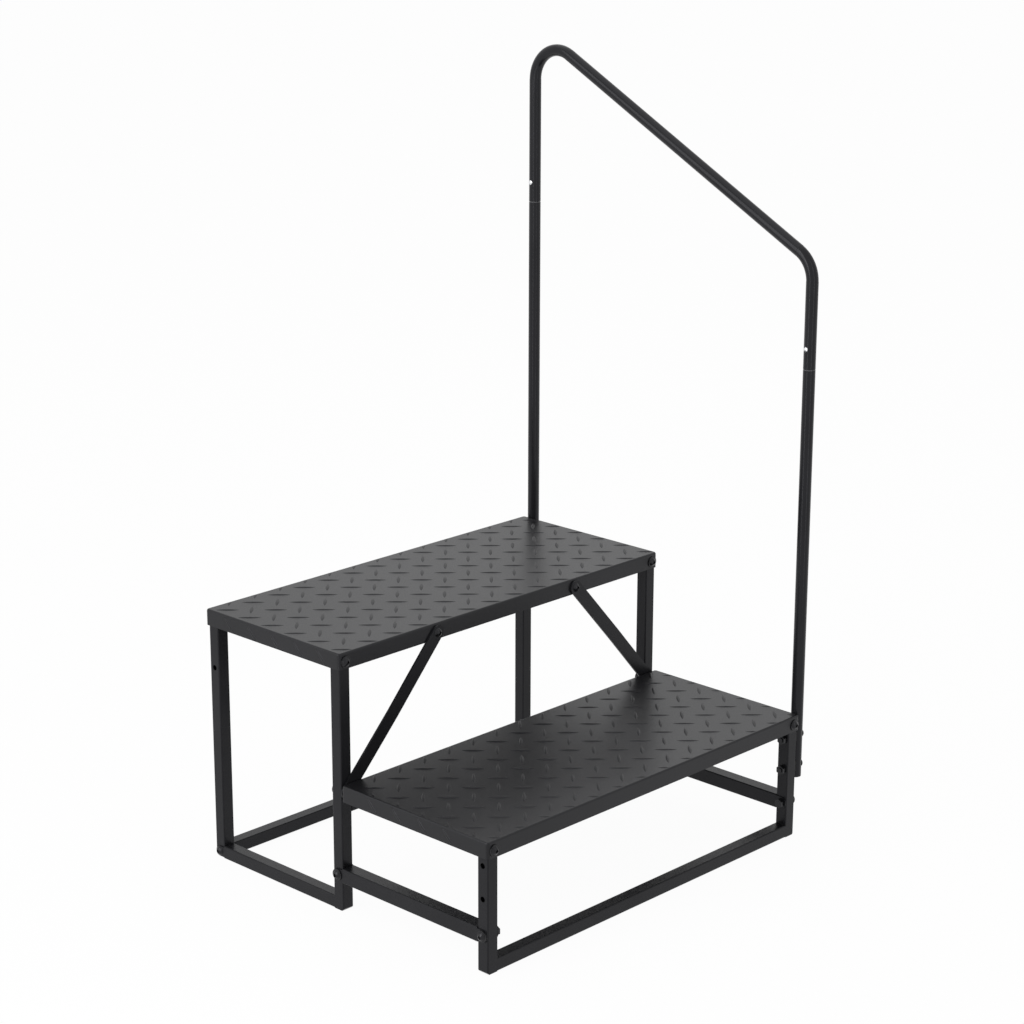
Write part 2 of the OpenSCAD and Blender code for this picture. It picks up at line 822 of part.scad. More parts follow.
module handrail_nuts() {
    color(black) {
        for (z = front_bolt_zs)
            translate([leg_x - tube / 2, 0, z]) rotate([0, -90, 0]) hex_nut();
        translate([rear_leg_x - tube / 2, rear_leg_y, rear_hole_z]) rotate([0, -90, 0]) hex_nut();
    }
}

upper_tread();
lower_tread();
rear_frame();
left_side_frame();
right_side_frame();
front_frame();
left_step_rail();
right_step_rail();
cross_bar();
left_brace();
right_brace();
handrail_top();
handrail_rear_post();
handrail_front_post();
post_end_plugs();
handrail_saddles();
locking_buttons();
tread_bolts();
tread_washers();
tread_nuts();
brace_bolts();
brace_nuts();
step_rail_bolts();
step_rail_washers();
step_rail_nuts();
foot_bolts();
foot_nuts();
cross_bar_screws();
handrail_bolts();
handrail_nuts();
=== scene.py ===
"""Looks of a two-step caravan entry step with a bolted tube frame and a bent handrail.

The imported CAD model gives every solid. This script dresses them with procedural finishes,
adds the smooth surfaces that the solids stand for, and sets the studio and the camera.
"""

import json
import logging
import math
from dataclasses import dataclass, field, replace
from enum import Enum

import bpy
import numpy as np
from mathutils import Matrix, Vector


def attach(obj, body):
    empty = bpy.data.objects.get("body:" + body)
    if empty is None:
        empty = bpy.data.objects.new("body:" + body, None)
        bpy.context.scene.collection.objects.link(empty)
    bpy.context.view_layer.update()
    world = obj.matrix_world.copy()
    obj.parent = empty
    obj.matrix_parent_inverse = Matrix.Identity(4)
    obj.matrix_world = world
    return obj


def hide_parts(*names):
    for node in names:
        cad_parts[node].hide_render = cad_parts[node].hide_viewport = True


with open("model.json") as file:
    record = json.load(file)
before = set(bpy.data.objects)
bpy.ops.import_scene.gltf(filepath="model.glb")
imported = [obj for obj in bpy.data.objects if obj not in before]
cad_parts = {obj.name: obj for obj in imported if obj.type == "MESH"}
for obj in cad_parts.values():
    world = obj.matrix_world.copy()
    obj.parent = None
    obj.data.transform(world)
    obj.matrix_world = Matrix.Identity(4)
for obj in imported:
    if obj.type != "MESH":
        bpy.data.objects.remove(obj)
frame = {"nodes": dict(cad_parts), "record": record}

LOG = logging.getLogger("entry_step")
BODY = "root"
MM = 0.001

# Largest angle that is smoothed over, in degrees.
CREASE = 38.0
# Digits after the point to which corners, unit normals and planes' distances are compared.
CORNER_DIGITS, NORMAL_DIGITS, PLANE_DIGITS = 7, 3, 5
# Smallest length that a vector is divided by.
TINY = 1e-20
# Height past which a corner of a tread belongs to a raised bar.
PROUD = 0.01 * MM
# Length of the handrail posts' reduced ends, above which the upper tube covers them.
REDUCED_END = 60.0 * MM
# Lowest and highest edge of the painted highlight band, a lighter colour standing in for light on a handrail
# joint's edge, from the rim of that joint.
PAINTED_HIGHLIGHT_BAND = (-1.3 * MM, 0.1 * MM)
# Shift of the pattern of raised bars to the right and to the back, for each tread.
PATTERN_SHIFTS = {"upper_tread": (30.0 * MM, 17.5 * MM), "lower_tread": (38.0 * MM, 7.0 * MM)}

Points = np.ndarray
Faces = np.ndarray
Socket = bpy.types.NodeSocket
Colour = tuple[float, float, float]
Span = tuple[float, float]


class Slot(Enum):
    """Material slots of the record."""

    FRAME = "black_powder_coat"
    TREAD = "tread_powder_coat"
    PLASTIC = "black_plastic"
    FASTENER = "black_zinc"
    BRIGHT = "bright_zinc"


class Graph:
    """Small helper that fills the node tree of a material or a world."""

    def __init__(self, owner: bpy.types.Material | bpy.types.World) -> None:
        """Start with an empty node tree.

        Args:
            owner: Material or world that the nodes belong to.
        """
        owner.use_nodes = True
        self.tree = owner.node_tree
        self.tree.nodes.clear()

    def add(self, kind: str, **settings: object) -> bpy.types.Node:
        """Add a node and set its properties.

        Args:
            kind: Blender's node type.
            settings: Properties of the node.

        Returns:
            The new node.
        """
        node = self.tree.nodes.new(kind)
        for key, value in settings.items():
            setattr(node, key, value)
        return node

    def link(self, source: Socket, target: Socket) -> None:
        """Link an output to an input."""
        self.tree.links.new(source, target)

    def put(self, value: Socket | float | tuple[float, ...], target: Socket) -> None:
        """Link an output to an input, or set the input to a plain value.

        Args:
            value: Output socket, number or colour.
            target: Input socket.
        """
        if isinstance(value, bpy.types.NodeSocket):
            self.link(value, target)
        else:
            target.default_value = value

    def calculate(self, operation: str, *values: Socket | float) -> Socket:
        """Add a math node.

        Args:
            operation: Blender's name of the operation.
            values: Inputs in their order, sockets or plain numbers.

        Returns:
            The result.
        """
        node = self.add("ShaderNodeMath", operation=operation)
        for value, target in zip(values, node.inputs):
            self.put(value, target)
        return node.outputs[0]

    def noise(self, vector: Socket, scale: float, detail: float) -> Socket:
        """Add a noise texture on a vector.

        Args:
            vector: Where the pattern is read.
            scale: Cells per metre.
            detail: Octaves.

        Returns:
            The noise's factor output.
        """
        node = self.add("ShaderNodeTexNoise")
        node.inputs["Scale"].default_value = scale
        node.inputs["Detail"].default_value = detail
        self.link(vector, node.inputs["Vector"])
        return node.outputs["Fac"]

    def ramp(self, factor: Socket, low: tuple[float, Colour], high: tuple[float, Colour]) -> Socket:
        """Add a colour ramp between two stops.

        Args:
            factor: Input from 0 to 1.
            low: Position and linear colour of the first stop.
            high: Position and linear colour of the second stop.

        Returns:
            The colour output.
        """
        node = self.add("ShaderNodeValToRGB")
        for element, (position, colour) in zip(node.color_ramp.elements, (low, high)):
            element.position = position
            element.color = (*colour, 1.0)
        self.link(factor, node.inputs["Fac"])
        return node.outputs["Color"]

    def span(self, factor: Socket, low: float, high: float) -> Socket:
        """Map a factor of 0 to 1 onto a range of values.

        Args:
            factor: Input from 0 to 1.
            low: Value at 0.
            high: Value at 1.

        Returns:
            The mapped value.
        """
        node = self.add("ShaderNodeMapRange")
        node.inputs["To Min"].default_value = low
        node.inputs["To Max"].default_value = high
        self.link(factor, node.inputs["Value"])
        return node.outputs["Result"]

    def blend(self, factor: Socket | float, first: Socket, second: Socket) -> Socket:
        """Blend two shaders.

        Args:
            factor: Share of the second shader.
            first: Shader at 0.
            second: Shader at 1.

        Returns:
            The blended shader.
        """
        node = self.add("ShaderNodeMixShader")
        for value, target in zip((factor, first, second), node.inputs):
            self.put(value, target)
        return node.outputs[0]

    def seen_directly(self) -> Socket:
        """Test for the rays that show the background itself.

        Returns:
            1 for camera, mirror and see-through rays, 0 for the rest.
        """
        path = self.add("ShaderNodeLightPath")
        total = path.outputs["Is Camera Ray"]
        for other in ("Is Glossy Ray", "Is Transmission Ray"):
            total = self.calculate("MAXIMUM", total, path.outputs[other])
        return total


@dataclass(frozen=True)
class Coat:
    """A fine-grained coating: two tones, a roughness range, an orange-peel bump and, where a rim is given, a
    painted highlight band.

    Attributes:
        name: Name of the material.
        dark: Linear colour of the darker tone.
        light: Linear colour of the lighter tone.
        rough: Lowest and highest roughness.
        specular: Specular level of the surface.
        grain: Cells of the fine grain per metre.
        peel: Cells of the coarse orange peel per metre.
        cloud: Cells of the slow unevenness of tone per metre.
        tones: Noise values at which the tone is at its darkest and at its lightest.
        depth: Height of the bump in metres.
        metallic: 0 for paint and plastic, 1 for bare plating.
        tint: Tint of the reflections.
        rim: Lowest and highest height of the painted highlight band at a rim in metres, or None for a whole
            coat.
        painted_highlight_colour: Linear colour of the painted highlight along a rim.
    """

    name: str
    dark: Colour
    light: Colour
    rough: Span
    specular: float
    grain: float = 2600.0
    peel: float = 420.0
    cloud: float = 9.0
    tones: Span = (0.35, 0.65)
    depth: float = 0.06 * MM
    metallic: float = 0.0
    tint: Colour = (0.95, 0.95, 1.0)
    rim: Span | None = None
    painted_highlight_colour: Colour = (0.3, 0.3, 0.31)

    def paint_highlight(self, g: Graph, colour: Socket, grain: Socket, where: Socket) -> Socket:
        """Paint a highlight: lighten the coat in patches along the rim, a lighter colour standing in for
        light caught on the joint's edge.

        Args:
            g: Graph of the material.
            colour: Colour of the whole coat.
            grain: Fine noise that breaks the rim up.
            where: Object coordinates.

        Returns:
            The colour with the rubbed rim.
        """
        low, high = self.rim
        split = g.add("ShaderNodeSeparateXYZ")
        g.link(where, split.inputs[0])
        # Painted highlight: a thin band at the rim, lightened in patches by the grain.
        band = g.calculate("COMPARE", split.outputs["Z"], (low + high) / 2, (high - low) / 2)
        mix = g.add("ShaderNodeMix", data_type="RGBA")
        mix.inputs["B"].default_value = (*self.painted_highlight_colour, 1.0)
        g.link(g.calculate("MULTIPLY", band, grain), mix.inputs["Factor"])
        g.link(colour, mix.inputs["A"])
        return mix.outputs["Result"]

    def material(self) -> bpy.types.Material:
        """Build the node material.

        The tone follows the mean of the fine grain and the slow cloud, the roughness follows the
        orange peel, and the bump is the sum of grain and peel, all noise on Object coordinates.

        Returns:
            The material.
        """
        material = bpy.data.materials.new(self.name)
        g = Graph(material)
        where = g.add("ShaderNodeTexCoord").outputs["Object"]
        grain = g.noise(where, self.grain, detail=2.0)
        peel = g.noise(where, self.peel, detail=3.0)
        cloud = g.noise(where, self.cloud, detail=4.0)
        mean = g.calculate("MULTIPLY", g.calculate("ADD", grain, cloud), 0.5)
        colour = g.ramp(mean, (self.tones[0], self.dark), (self.tones[1], self.light))
        # Painted highlight band along a joint's rim, where a rim is given.
        if self.rim is not None:
            colour = self.paint_highlight(g, colour, grain, where)
        bump = g.add("ShaderNodeBump")
        bump.inputs["Strength"].default_value = 1.0
        bump.inputs["Distance"].default_value = self.depth
        g.link(g.calculate("ADD", grain, peel), bump.inputs["Height"])
        shader = g.add("ShaderNodeBsdfPrincipled")
        sockets = {"Base Color": colour, "Roughness": g.span(peel, *self.rough), "Metallic": self.metallic,
                   "Specular IOR Level": self.specular, "Specular Tint": (*self.tint, 1.0),
                   "Normal": bump.outputs["Normal"]}
        for name, value in sockets.items():
            g.put(value, shader.inputs[name])
        out = g.add("ShaderNodeOutputMaterial")
        g.link(shader.outputs["BSDF"], out.inputs["Surface"])
        return material


@dataclass(frozen=True)
class Finishes:
    """Every finish of the object."""

    frame: Coat = Coat("satin_black_frame_coat", (0.007, 0.007, 0.008), (0.013, 0.013, 0.0148),
                       rough=(0.26, 0.36), specular=0.17)
    tread: Coat = Coat("satin_black_tread_coat", (0.004, 0.004, 0.0046), (0.008, 0.008, 0.0092),
                       rough=(0.3, 0.4), specular=0.3, depth=0.04 * MM)
    bars: Coat = Coat("dull_black_bar_coat", (0.004, 0.004, 0.0046), (0.008, 0.008, 0.0092),
                      rough=(0.42, 0.52), specular=0.28, depth=0.04 * MM)
    handrail: Coat = Coat("gloss_black_handrail_coat", (0.008, 0.008, 0.0091), (0.014, 0.014, 0.016),
                          rough=(0.15, 0.22), specular=0.2, depth=0.02 * MM)
    plastic: Coat = Coat("matt_black_plastic", (0.010, 0.010, 0.010), (0.015, 0.015, 0.015),
                         rough=(0.55, 0.7), specular=0.2)
    fastener: Coat = Coat("black_zinc_plate", (0.004, 0.004, 0.0046), (0.009, 0.009, 0.0102),
                          rough=(0.2, 0.3), specular=0.3, depth=0.02 * MM)
    bright: Coat = Coat("bright_zinc_plate", (0.62, 0.63, 0.65), (0.78, 0.79, 0.80),
                        rough=(0.18, 0.3), specular=0.5, depth=0.01 * MM, metallic=1.0)

    def for_slot(self) -> dict[Slot, bpy.types.Material]:
        """Build one material for each slot of the record.

        Returns:
            The material of each slot.
        """
        pairs = {Slot.FRAME: self.frame, Slot.TREAD: self.tread, Slot.PLASTIC: self.plastic,
                 Slot.FASTENER: self.fastener, Slot.BRIGHT: self.bright}
        return {slot: coat.material() for slot, coat in pairs.items()}

    def for_handrail(self) -> dict[str, bpy.types.Material]:
        """Build the handrail's smooth coats; those of the posts carry a painted highlight band at the joints'
        rims.

        Returns:
            The material of each node of the handrail.
        """
        materials = {"handrail_top": self.handrail.material()}
        for node in ("handrail_front_post", "handrail_rear_post"):
            points, _ = merged_triangles(node)
            rim = points[:, 2].max() - REDUCED_END
            # Painted highlight band just below the joint's rim.
            band = (rim + PAINTED_HIGHLIGHT_BAND[0], rim + PAINTED_HIGHLIGHT_BAND[1])
            materials[node] = replace(self.handrail, name=node + "_coat", rim=band).material()
        return materials


@dataclass
class DressedSolids:
    """Gives every CAD solid the finish of its slot."""

    materials: dict[Slot, bpy.types.Material]

    def build(self) -> None:
        """Put the finish of each node's slot on its object."""
        for name, solid in frame["nodes"].items():
            solid.data.materials.clear()
            solid.data.materials.append(self.materials[slot_of(name)])
            LOG.info("dressed %s with %s", name, slot_of(name).value)


def slot_of(node: str) -> Slot:
    """Look up the material slot of a CAD node.

    Args:
        node: Name of the node.

    Returns:
        The slot that the record gives the node.
    """
    return next(Slot(s["material_slot"]) for s in frame["record"]["subparts"] if s["node"] == node)


def merged_triangles(node: str) -> tuple[Points, Faces]:
    """Read a CAD node's triangles with the corners that coincide joined.

    Args:
        node: Name of the node.

    Returns:
        Vertex coordinates in metres and the vertex numbers of each triangle.
    """
    mesh = frame["nodes"][node].data
    mesh.calc_loop_triangles()
    points = np.empty(len(mesh.vertices) * 3)
    mesh.vertices.foreach_get("co", points)
    corners = np.empty(len(mesh.loop_triangles) * 3, dtype=np.int32)
    mesh.loop_triangles.foreach_get("vertices", corners)
    merged, number = np.unique(points.reshape(-1, 3).round(CORNER_DIGITS), axis=0, return_inverse=True)
    faces = number.ravel()[corners].reshape(-1, 3)
    whole = (faces[:, 0] != faces[:, 1]) & (faces[:, 1] != faces[:, 2]) & (faces[:, 0] != faces[:, 2])
    return merged, faces[whole]


def corner_normals(points: Points, faces: Faces, crease: float) -> np.ndarray:
    """Work out the shading normal of each corner of each triangle.

    The normal is the mean of the normals of the triangles round the corner that lie within the
    crease angle of its own, each weighted by the area of the whole plane that it belongs to, so
    flat faces stay flat up to their rounded edges.

    Args:
        points: Vertex coordinates.
        faces: Vertex numbers of each triangle.
        crease: Largest angle that is smoothed over, in degrees.

    Returns:
        One unit normal for each corner, in the order of the corners.
    """
    a, b, c = (points[faces[:, k]] for k in range(3))
    cross = np.cross(b - a, c - a)
    size = np.linalg.norm(cross, axis=1)
    unit = cross / np.maximum(size, TINY)[:, None]
    reach = np.einsum("ij,ij->i", unit, a)

    # Triangles with the same normal and distance from the origin share one plane and its area.
    planes = np.column_stack([unit.round(NORMAL_DIGITS), reach.round(PLANE_DIGITS)])
    _, plane = np.unique(planes, axis=0, return_inverse=True)
    weight = np.bincount(plane.ravel(), weights=size)[plane.ravel()]

    # Sorted by vertex, each corner is paired with every corner at the same vertex.
    vertex = faces.ravel()
    order = np.argsort(vertex, kind="stable")
    owner = np.repeat(np.arange(len(faces)), 3)[order]
    start = np.searchsorted(vertex[order], vertex[order], side="left")
    count = np.searchsorted(vertex[order], vertex[order], side="right") - start
    one = np.repeat(np.arange(len(order)), count)
    within = np.arange(count.sum()) - np.repeat(np.cumsum(count) - count, count)
    other = np.repeat(start, count) + within

    # Only the pairs within the crease angle pull on the corner's normal.
    near = np.einsum("ij,ij->i", unit[owner[one]], unit[owner[other]]) > math.cos(math.radians(crease))
    pulls = unit[owner[other[near]]] * weight[owner[other[near]]][:, None]
    sums = [np.bincount(one[near], weights=pulls[:, k], minlength=len(order)) for k in range(3)]
    total = np.column_stack(sums)
    total /= np.maximum(np.linalg.norm(total, axis=1), TINY)[:, None]
    normals = np.empty_like(total)
    normals[order] = total
    return normals


def repeated(quads: Faces, copies: int, size: int) -> Faces:
    """Number the quads of several copies of one shape.

    Args:
        quads: Vertex numbers of the shape's quads.
        copies: Number of copies.
        size: Number of vertices of the shape.

    Returns:
        Vertex numbers of the quads of all the copies.
    """
    return (quads[None] + np.arange(copies)[:, None, None] * size).reshape(-1, 4)


def joined(parts: list[tuple[Points, Faces]]) -> tuple[Points, Faces]:
    """Join the vertices and faces of several meshes.

    Args:
        parts: Vertex coordinates and faces of each mesh.

    Returns:
        Vertex coordinates and faces of the one mesh.
    """
    starts = np.cumsum([0] + [len(points) for points, _ in parts[:-1]])
    faces = [faces + start for (_, faces), start in zip(parts, starts)]
    return np.concatenate([points for points, _ in parts]), np.concatenate(faces)


def add_piece(name: str, points: Points, faces: Faces, finish: bpy.types.Material,
              normals: np.ndarray | None = None) -> bpy.types.Object:
    """Make a smooth mesh piece that rides on the body.

    Args:
        name: Name of the piece.
        points: Vertex coordinates in metres.
        faces: Vertex numbers of each face.
        finish: Material of the piece.
        normals: Shading normal of each corner, or None for plain smooth shading.

    Returns:
        The new object.
    """
    mesh = bpy.data.meshes.new(name)
    mesh.from_pydata(points, [], faces)
    mesh.polygons.foreach_set("use_smooth", np.ones(len(faces), dtype=bool))
    if normals is not None:
        mesh.normals_split_custom_set(normals)
    mesh.materials.append(finish)
    piece = bpy.data.objects.new(name, mesh)
    bpy.context.scene.collection.objects.link(piece)
    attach(piece, BODY)
    LOG.info("piece %s: %d faces", name, len(faces))
    return piece


@dataclass
class SmoothCopies:
    """Stands for the CAD nodes with curved faces, with the same triangles and smooth shading.

    Attributes:
        materials: Material of each slot.
        nodes: Names of the nodes.
        own: Finishes of single nodes that differ from their slot's.
    """

    materials: dict[Slot, bpy.types.Material]
    nodes: list[str]
    own: dict[str, bpy.types.Material]

    def build(self) -> None:
        """Add one smooth copy for each node."""
        for node in self.nodes:
            points, faces = merged_triangles(node)
            slot = slot_of(node)
            piece = add_piece(node + "_smooth", points, faces, self.own.get(node, self.materials[slot]),
                              corner_normals(points, faces, CREASE))
            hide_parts(node)


@dataclass(frozen=True)
class Checker:
    """Sizes of the tread and of its raised bars, as in the CAD model, in metres.

    Attributes:
        step: Distance of the pattern's rows along both axes.
        length: Length of a bar.
        width: Width of a bar at its middle.
        height: Height of a bar at its middle.
        half_w: Half the tread's width.
        half_d: Half the tread's depth.
        fold: Outer radius of the fold.
        skirt: Height of the skirt.
        plain: Plain length at both ends of the short skirts.
        margin: Plain margin above and below the skirts' bars.
        sink: Depth of the bars' feet below the plate, only here.
        spread: Extra width of a bar's foot on each side, only here.
        tail: Extra length of a bar's foot at each end, only here.
        run_out: Length over which the bars run out at a fold or a lip, only here.
    """

    step: float = 36.0 * MM / math.sqrt(2.0)
    length: float = 34.0 * MM
    width: float = 5.0 * MM
    height: float = 1.0 * MM
    half_w: float = 345.0 * MM
    half_d: float = 148.0 * MM
    fold: float = 3.0 * MM
    skirt: float = 25.0 * MM
    plain: float = 36.0 * MM
    margin: float = 1.0 * MM
    sink: float = 0.1 * MM
    spread: float = 0.5 * MM
    tail: float = 1.5 * MM
    run_out: float = 4.0 * MM


@dataclass
class CheckerTread:
    """A folded checker-plate tread whose raised bars are soft domes.

    Attributes:
        node: CAD node that the pieces stand for.
        shift: Shift of the pattern to the right and to the back.
        finish: Material of the tread.
        bar_finish: Material of the raised bars.
        checker: Sizes of the tread and the pattern.
        centre_y: Middle of the tread, front to back.
        top: Height of the walking surface.
    """

    node: str
    shift: tuple[float, float]
    finish: bpy.types.Material
    bar_finish: bpy.types.Material
    checker: Checker = Checker()
    centre_y: float = field(init=False)
    top: float = field(init=False)

    def __post_init__(self) -> None:
        """Take the tread's place from its CAD node, whose lowest points are the skirts' lips."""
        points, _ = merged_triangles(self.node)
        low, high = points.min(axis=0), points.max(axis=0)
        self.centre_y = (low[1] + high[1]) / 2
        self.top = low[2] + self.checker.skirt

    def faded(self, height: np.ndarray, room: np.ndarray) -> np.ndarray:
        """Let the bars run out into the sheet near a fold or a lip.

        Args:
            height: Height of each point above the sheet.
            room: Distance of each point from the fold or lip.

        Returns:
            The height above the feet times 3 t squared - 2 t cubed, with t the room over the
            run-out.
        """
        c = self.checker
        t = np.clip(room / c.run_out, 0.0, 1.0)
        return (height + c.sink) * t * t * (3.0 - 2.0 * t) - c.sink

    def dome(self, lengthwise: int = 20, crosswise: int = 12) -> tuple[Points, Faces]:
        """Make one raised bar along +X, centred on the origin.

        With u along the bar and v across it, both from -1 to 1, half the outline's width is that
        of the CAD bar's lens plus the spread times 1 - u to the eighth. The height falls as
        1 - u squared along the bar and as (1 - v cubed) squared across it, so the bar has a flat
        crown and narrow steep flanks. Its feet lie below the plate.

        Args:
            lengthwise: Cells along the bar.
            crosswise: Cells across the bar.

        Returns:
            Vertex coordinates and quads.
        """
        c = self.checker
        u = np.sin(np.linspace(-0.5, 0.5, lengthwise + 1) * math.pi)
        v = np.linspace(-1.0, 1.0, crosswise + 1)
        along = u * (c.length / 2 + c.tail)
        lens = np.clip(1.0 - (along / (c.length / 2)) ** 2, 0.0, 1.0)
        half = lens * c.width / 2 + c.spread * (1.0 - u ** 8)
        x = np.repeat(along[:, None], crosswise + 1, axis=1)
        y = half[:, None] * v[None, :]
        rise = (1.0 - u[:, None] ** 2) * (1.0 - np.abs(v[None, :]) ** 3) ** 2
        z = -c.sink + (c.height + c.sink) * rise
        points = np.stack([x, y, z], axis=-1).reshape(-1, 3)
        row = np.arange(lengthwise)[:, None] * (crosswise + 1) + np.arange(crosswise)[None, :]
        quads = np.stack([row, row + crosswise + 1, row + crosswise + 2, row + 1], axis=-1)
        return points, quads.reshape(-1, 4)

    def places(self) -> tuple[np.ndarray, np.ndarray]:
        """Work out the bars of the plate: their centres and turns.

        The bars stand on every second place of a square grid, and their turn changes from one
        column of the grid to the next. A bar whose centre is up to a quarter of its length past
        the fold is kept, to be cut off there.

        Returns:
            Centres in the plate's own axes, and turns in radians.
        """
        c = self.checker
        limit = np.array([c.half_w, c.half_d]) - c.fold + c.length / 4
        reach_i, reach_j = np.ceil((limit + np.array(self.shift)) / c.step).astype(int)
        i, j = np.meshgrid(np.arange(-reach_i, reach_i + 1), np.arange(-reach_j, reach_j + 1), indexing="ij")
        centre = np.stack([i * c.step + self.shift[0], j * c.step + self.shift[1]], axis=-1)
        kept = ((i + j) % 2 == 0) & (np.abs(centre) < limit).all(axis=-1)
        turn = np.where(i % 2 == 0, -math.pi / 4, math.pi / 4)
        return centre[kept], turn[kept]

    def skirt_places(self) -> np.ndarray:
        """Work out the bars of a short skirt, one at each odd row of the pattern.

        Returns:
            Middles of the bars, front to back.
        """
        c = self.checker
        reach = math.ceil(c.half_d / (2 * c.step))
        j = np.arange(-reach, reach + 1)
        y = self.shift[1] + (2 * j - 1) * c.step
        return y[np.abs(y) < c.half_d - c.plain]

    def plate_bars(self) -> tuple[Points, Faces]:
        """Make the bars on the plate, cut off upright at its folds.

        Returns:
            Vertex coordinates and quads.
        """
        c = self.checker
        shape, quads = self.dome()
        centre, turn = self.places()
        cos, sin = np.cos(turn)[:, None], np.sin(turn)[:, None]
        x = centre[:, :1] + cos * shape[:, 0] - sin * shape[:, 1]
        y = centre[:, 1:] + sin * shape[:, 0] + cos * shape[:, 1]
        limit_x, limit_y = c.half_w - c.fold, c.half_d - c.fold
        room = np.minimum(limit_x - np.abs(x), limit_y - np.abs(y))
        z = self.faded(np.broadcast_to(shape[:, 2], x.shape), room)
        x = np.clip(x, -limit_x, limit_x)
        y = np.clip(y, -limit_y, limit_y)
        points = np.stack([x, y + self.centre_y, z + self.top], axis=-1).reshape(-1, 3)
        return points, repeated(quads, len(centre), len(shape))

    def skirt_bars(self, side: int) -> tuple[Points, Faces]:
        """Make the slanted bars on one short skirt, cut off at the fold and run out at the lip.

        Args:
            side: -1 for the left skirt, 1 for the right.

        Returns:
            Vertex coordinates and quads.
        """
        c = self.checker
        shape, quads = self.dome()
        middle = -(c.fold + c.skirt) / 2
        half = (c.skirt - c.fold) / 2 - c.margin
        slant = math.sqrt(0.5)
        along = slant * (shape[:, 0] - shape[:, 1])
        across = slant * (shape[:, 0] + shape[:, 1])
        y = self.skirt_places()[:, None] + across[None, :]
        up = -side * along
        z = np.broadcast_to(middle + np.clip(up, -half, half), y.shape)
        x = np.broadcast_to(side * (c.half_w + self.faded(shape[:, 2], up + half)), y.shape)
        points = np.stack([x, y + self.centre_y, z + self.top], axis=-1).reshape(-1, 3)
        return points, repeated(quads, len(y), len(shape))

    def build(self) -> None:
        """Add the plain folded tray and its bars as two pieces that stand for the CAD node."""
        points, faces = merged_triangles(self.node)
        proud = (points[:, 2] > self.top + PROUD) | (np.abs(points[:, 0]) > self.checker.half_w + PROUD)
        faces = faces[~proud[faces].any(axis=1)]
        tray = add_piece(self.node + "_tray", points, faces, self.finish,
                         corner_normals(points, faces, CREASE))
        points, faces = joined([self.plate_bars(), self.skirt_bars(-1), self.skirt_bars(1)])
        bars = add_piece(self.node + "_bars", points, faces, self.bar_finish)
        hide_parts(self.node)
        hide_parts(self.node)


@dataclass(frozen=True)
class Lamp:
    """An area lamp.

    Attributes:
        name: Name of the lamp.
        place: Position in metres.
        target: Point that the lamp faces.
        width: Width in metres.
        height: Height in metres.
        power: Power in watts.
    """

    name: str
    place: tuple[float, float, float]
    target: tuple[float, float, float]
    width: float
    height: float
    power: float

    def build(self) -> None:
        """Add the lamp, turned to its target with its height upright."""
        data = bpy.data.lights.new(self.name, "AREA")
        data.shape = "RECTANGLE"
        data.size = self.width
        data.size_y = self.height
        data.energy = self.power
        lamp = bpy.data.objects.new(self.name, data)
        bpy.context.scene.collection.objects.link(lamp)
        lamp.location = self.place
        lamp.rotation_mode = "QUATERNION"
        lamp.rotation_quaternion = (Vector(self.target) - Vector(self.place)).to_track_quat("-Z", "Y")


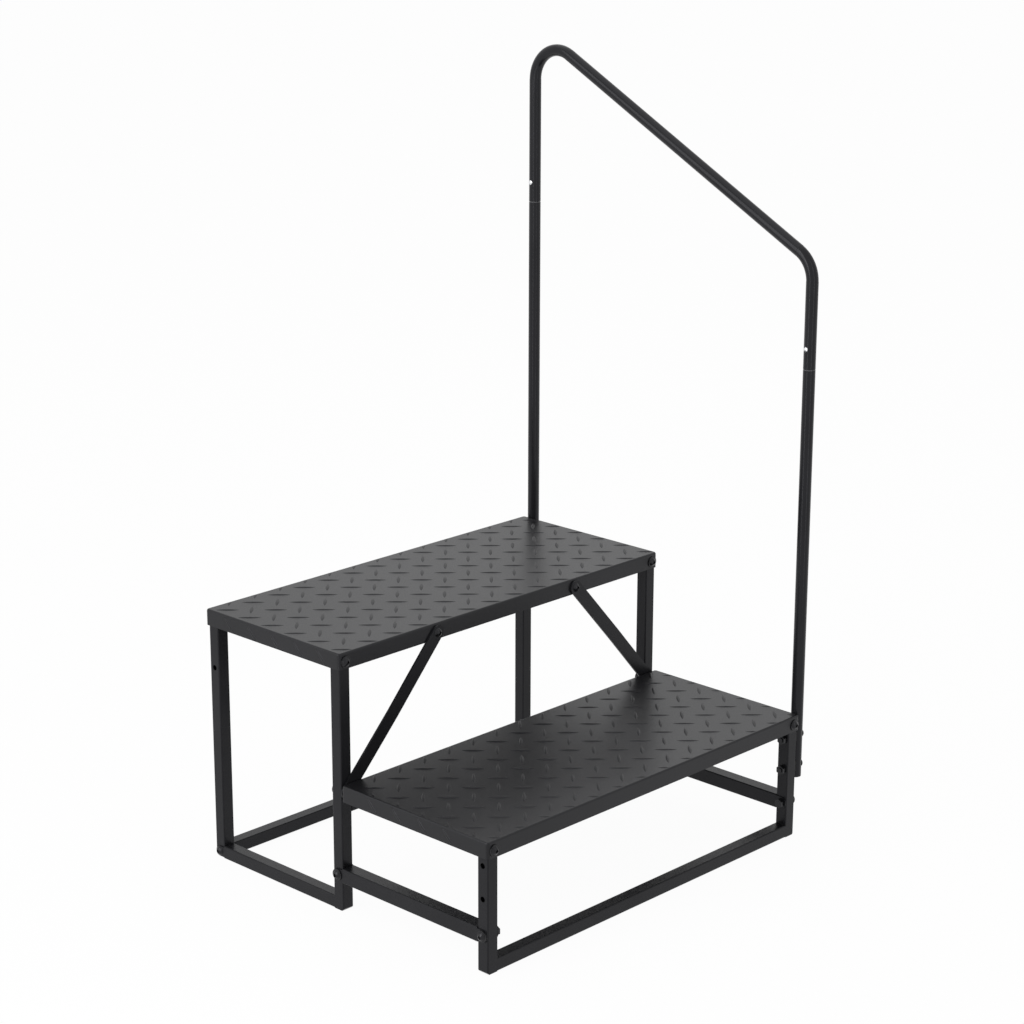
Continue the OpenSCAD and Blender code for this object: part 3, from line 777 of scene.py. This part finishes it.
@dataclass
class Studio:
    """Pale floor, soft lamps, white surroundings and the camera.

    Attributes:
        camera_at: Camera position in metres.
        yaw: Turn of the view from +Y towards +X, in degrees.
        pitch: Tilt of the view below the horizon, in degrees.
        roll: Roll of the picture, in degrees.
        focal_px: Focal length in pixels of the frame.
        frame_px: Width and height of the frame in pixels.
        sensor_mm: Width of the film frame in millimetres.
        far: Farthest distance that the camera sees, in metres.
        surroundings: Strength at which the white surroundings light the object.
        floor_reach: Distance of the floor's edges from the origin, in metres.
        floor_tone: Grey of the floor.
        floor_white: Share of plain white in the floor that the camera sees, the rest is lit.
        lamps: The lamps.
    """

    camera_at: tuple[float, float, float] = (-2.6476, -2.2750, 1.6164)
    yaw: float = 46.07
    pitch: float = 16.31
    roll: float = 0.13
    focal_px: float = 2560.8
    frame_px: float = 1024.0
    sensor_mm: float = 36.0
    far: float = 60.0
    surroundings: float = 0.7
    floor_reach: float = 14.0
    floor_tone: float = 0.8
    floor_white: float = 0.96
    lamps: tuple[Lamp, ...] = (
        Lamp("top_softbox", (0.2, 0.9, 3.4), (0.0, 0.2, 0.3), 2.6, 2.6, 12.0),
        Lamp("left_softbox", (-3.6, 1.2, 2.1), (0.0, 0.3, 0.4), 3.2, 3.2, 70.0),
        Lamp("back_softbox", (2.3, 2.2, 2.6), (0.0, 0.2, 0.3), 1.8, 1.8, 4.0),
        Lamp("left_strip", (-1.14, 0.15, 1.22), (0.36, 0.28, 1.22), 0.14, 2.4, 4.0),
        Lamp("right_strip", (-0.03, -1.2, 1.22), (0.36, 0.28, 1.22), 0.14, 2.4, 2.5),
    )

    def make_camera(self) -> None:
        """Place the camera by its yaw, pitch and roll, with a centred lens."""
        yaw, pitch, roll = (math.radians(v) for v in (self.yaw, self.pitch, self.roll))
        forward = Vector((math.sin(yaw) * math.cos(pitch), math.cos(yaw) * math.cos(pitch), -math.sin(pitch)))
        right = forward.cross(Vector((0, 0, 1))).normalized()
        up = right.cross(forward)
        turned_right = right * math.cos(roll) + up * math.sin(roll)
        turned_up = up * math.cos(roll) - right * math.sin(roll)
        data = bpy.data.cameras.new("camera")
        data.sensor_width = self.sensor_mm
        data.lens = self.focal_px / self.frame_px * self.sensor_mm
        data.clip_end = self.far
        camera = bpy.data.objects.new("camera", data)
        bpy.context.scene.collection.objects.link(camera)
        axes = Matrix((turned_right, turned_up, -forward)).transposed()
        camera.matrix_world = Matrix.Translation(self.camera_at) @ axes.to_4x4()
        bpy.context.scene.camera = camera

    def make_world(self) -> None:
        """White to the camera and in reflections, and a plain pale light for the rest."""
        world = bpy.data.worlds.new("surroundings")
        bpy.context.scene.world = world
        g = Graph(world)
        lit, seen = (g.add("ShaderNodeBackground") for _ in range(2))
        for background, strength in ((lit, self.surroundings), (seen, 1.0)):
            background.inputs["Color"].default_value = (1, 1, 1, 1)
            background.inputs["Strength"].default_value = strength
        out = g.add("ShaderNodeOutputWorld")
        g.link(g.blend(g.seen_directly(), lit.outputs[0], seen.outputs[0]), out.inputs["Surface"])

    def make_floor(self) -> None:
        """Flat pale floor that shows white and keeps the object's shadow."""
        reach, tone = self.floor_reach, self.floor_tone
        mesh = bpy.data.meshes.new("studio_floor")
        mesh.from_pydata([(-reach, -reach, 0), (reach, -reach, 0), (reach, reach, 0), (-reach, reach, 0)],
                         [], [(0, 1, 2, 3)])
        floor = bpy.data.objects.new("studio_floor", mesh)
        bpy.context.scene.collection.objects.link(floor)
        paint = bpy.data.materials.new("studio_floor_paint")
        g = Graph(paint)
        body = g.add("ShaderNodeBsdfDiffuse")
        body.inputs["Color"].default_value = (tone, tone, tone, 1)
        white = g.add("ShaderNodeEmission")
        white.inputs["Strength"].default_value = 1.0
        shown = g.blend(self.floor_white, body.outputs[0], white.outputs[0])
        out = g.add("ShaderNodeOutputMaterial")
        g.link(g.blend(g.seen_directly(), body.outputs[0], shown), out.inputs["Surface"])
        mesh.materials.append(paint)

    def build(self) -> None:
        """Make the camera, lamps, surroundings and floor."""
        self.make_camera()
        for lamp in self.lamps:
            lamp.build()
        self.make_world()
        self.make_floor()
        bpy.context.scene.view_settings.view_transform = "Standard"


def main() -> None:
    """Build the studio, the finishes and every piece, in order."""
    logging.basicConfig(level=logging.INFO, format="%(message)s")
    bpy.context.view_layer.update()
    Studio().build()
    finishes = Finishes()
    materials = finishes.for_slot()
    DressedSolids(materials).build()
    bar_finish = finishes.bars.material()
    for node, shift in PATTERN_SHIFTS.items():
        CheckerTread(node, shift, materials[Slot.TREAD], bar_finish).build()
    rounded = [n for n in frame["nodes"] if n not in PATTERN_SHIFTS and not n.endswith("_nuts")]
    SmoothCopies(materials, rounded, finishes.for_handrail()).build()


if __name__ == "__main__":
    main()
